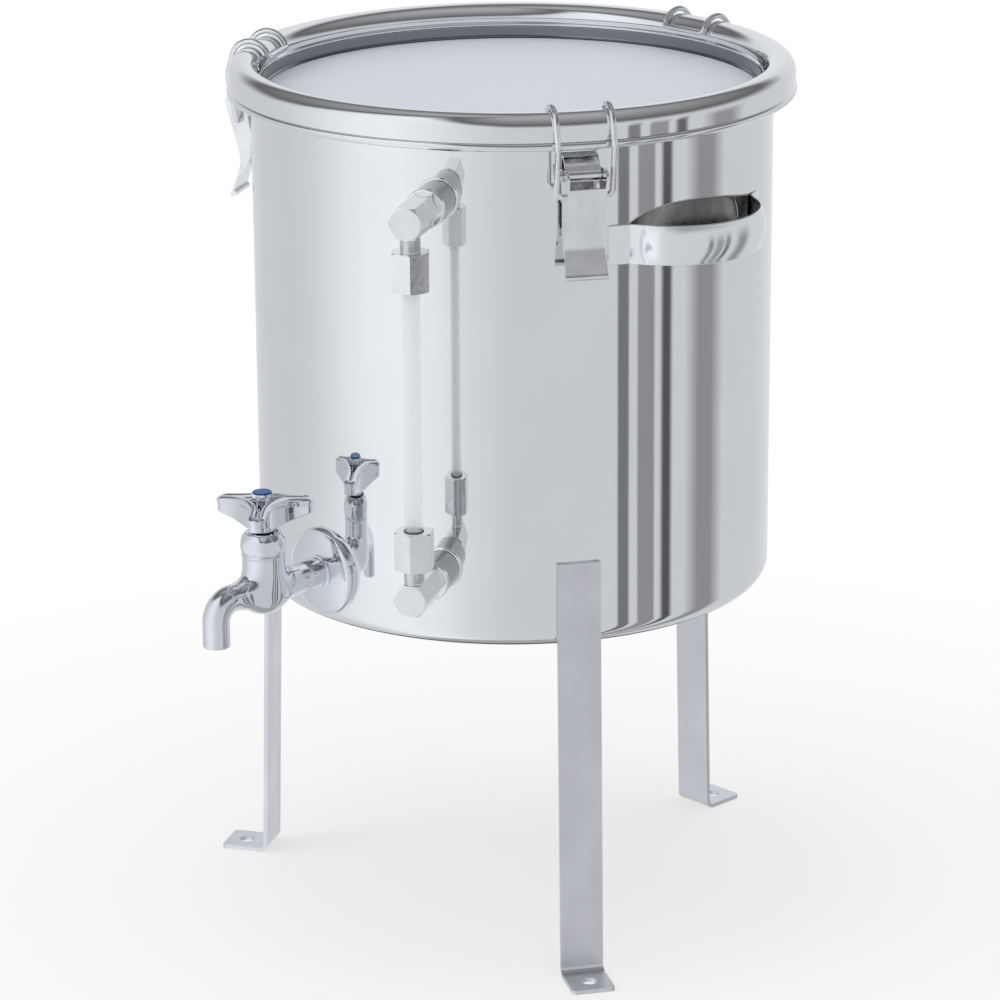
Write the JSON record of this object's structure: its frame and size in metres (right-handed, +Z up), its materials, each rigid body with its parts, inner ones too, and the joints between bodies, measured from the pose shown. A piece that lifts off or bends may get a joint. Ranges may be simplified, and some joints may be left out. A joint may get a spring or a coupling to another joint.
{
  "type": "storage tank with tap, level gauge and legs",
  "caption": "Round stainless steel settling tank with clamped lid, screw-down tap, clear level gauge, carrying handles and welded flat-bar legs",
  "frame": {"origin": "on the tank axis, at floor level under the feet", "axes": "+Z up along the tank axis; -Y is the side with the tap; +X is the side of the first carrying handle"},
  "size_m": [0.4358, 0.5109, 0.615],
  "materials": {
    "polished_steel": "mirror-polished stainless steel sheet",
    "handle_steel": "polished stainless steel strap",
    "leg_steel": "satin stainless steel flat bar",
    "clip_steel": "bright pressed and drawn stainless steel",
    "gauge_steel": "bright turned stainless steel",
    "tap_chrome": "chromed brass casting",
    "tap_brass": "bare turned brass",
    "index_blue": "glossy blue",
    "seal_rubber": "matt dark rubber",
    "clear_tube": "clear"
  },
  "bodies": {
    "tank": {"tank_body": "polished_steel", "lid": "polished_steel", "carry_handle_1": "handle_steel", "carry_handle_2": "handle_steel", "leg_1": "leg_steel", "leg_2": "leg_steel", "leg_3": "leg_steel", "clip_base_1": "clip_steel", "clip_base_2": "clip_steel", "clip_base_3": "clip_steel", "clip_pin_1": "clip_steel", "clip_pin_2": "clip_steel", "clip_pin_3": "clip_steel", "gauge_boss_low": "gauge_steel", "gauge_boss_high": "gauge_steel", "gauge_collar_low": "gauge_steel", "gauge_collar_high": "gauge_steel", "gauge_elbow_low": "gauge_steel", "gauge_elbow_high": "gauge_steel", "gauge_nut_low": "gauge_steel", "gauge_nut_high": "gauge_steel", "tap_body": "tap_chrome", "tap_bonnet": "tap_chrome", "tap_escutcheon": "tap_chrome", "tap_back_nut": "tap_brass", "lid_gasket": "seal_rubber", "tap_packing": "seal_rubber", "tap_outer_packing": "seal_rubber", "tap_inner_packing": "seal_rubber", "gauge_seal_low": "seal_rubber", "gauge_seal_high": "seal_rubber", "gauge_tube": "clear_tube"},
    "clip_lever_1": {"clip_lever_1": "clip_steel"},
    "clip_lever_2": {"clip_lever_2": "clip_steel"},
    "clip_lever_3": {"clip_lever_3": "clip_steel"},
    "clip_bail_1": {"clip_bail_1": "clip_steel"},
    "clip_bail_2": {"clip_bail_2": "clip_steel"},
    "clip_bail_3": {"clip_bail_3": "clip_steel"},
    "tap_valve": {"tap_jumper": "tap_brass", "tap_jumper_washer": "seal_rubber"},
    "tap_handle": {"tap_spindle": "tap_brass", "tap_handle": "tap_chrome", "tap_handle_screw": "tap_chrome", "tap_index_disc": "index_blue"}
  },
  "joints": [
    {"name": "tap_valve_lift", "type": "slide", "parent": "tank", "child": "tap_valve", "axis": [0, 0, 1], "range_m": [0, 0.00375]},
    {"name": "tap_handle_turn", "type": "hinge", "parent": "tap_valve", "child": "tap_handle", "pos_m": [0, -0.2352, 0.33], "axis": [0, 0, 1], "range_deg": [0, 540]},
    {"name": "clip_lever_1_turn", "type": "hinge", "parent": "tank", "child": "clip_lever_1", "pos_m": [0.16498, -0.09525, 0.5675], "axis": [-0.5, -0.866, 0], "range_deg": [0, 90]},
    {"name": "clip_bail_1_turn", "type": "hinge", "parent": "clip_lever_1", "child": "clip_bail_1", "pos_m": [0.16957, -0.0979, 0.555], "axis": [-0.5, -0.866, 0], "range_deg": [-71, 0]},
    {"name": "clip_lever_2_turn", "type": "hinge", "parent": "tank", "child": "clip_lever_2", "pos_m": [0, 0.1905, 0.5675], "axis": [1, 0, 0], "range_deg": [0, 90]},
    {"name": "clip_bail_2_turn", "type": "hinge", "parent": "clip_lever_2", "child": "clip_bail_2", "pos_m": [0, 0.1958, 0.555], "axis": [1, 0, 0], "range_deg": [-71, 0]},
    {"name": "clip_lever_3_turn", "type": "hinge", "parent": "tank", "child": "clip_lever_3", "pos_m": [-0.16498, -0.09525, 0.5675], "axis": [-0.5, 0.866, 0], "range_deg": [0, 90]},
    {"name": "clip_bail_3_turn", "type": "hinge", "parent": "clip_lever_3", "child": "clip_bail_3", "pos_m": [-0.16957, -0.0979, 0.555], "axis": [-0.5, 0.866, 0], "range_deg": [-71, 0]}
  ],
  "couplings": [
    {"joint": "tap_handle_turn", "follows": "tap_valve_lift", "rad_per_m": 2513.3},
    {"joint": "clip_bail_1_turn", "follows": "clip_lever_1_turn", "ratio": -0.78},
    {"joint": "clip_bail_2_turn", "follows": "clip_lever_2_turn", "ratio": -0.78},
    {"joint": "clip_bail_3_turn", "follows": "clip_lever_3_turn", "ratio": -0.78}
  ]
}
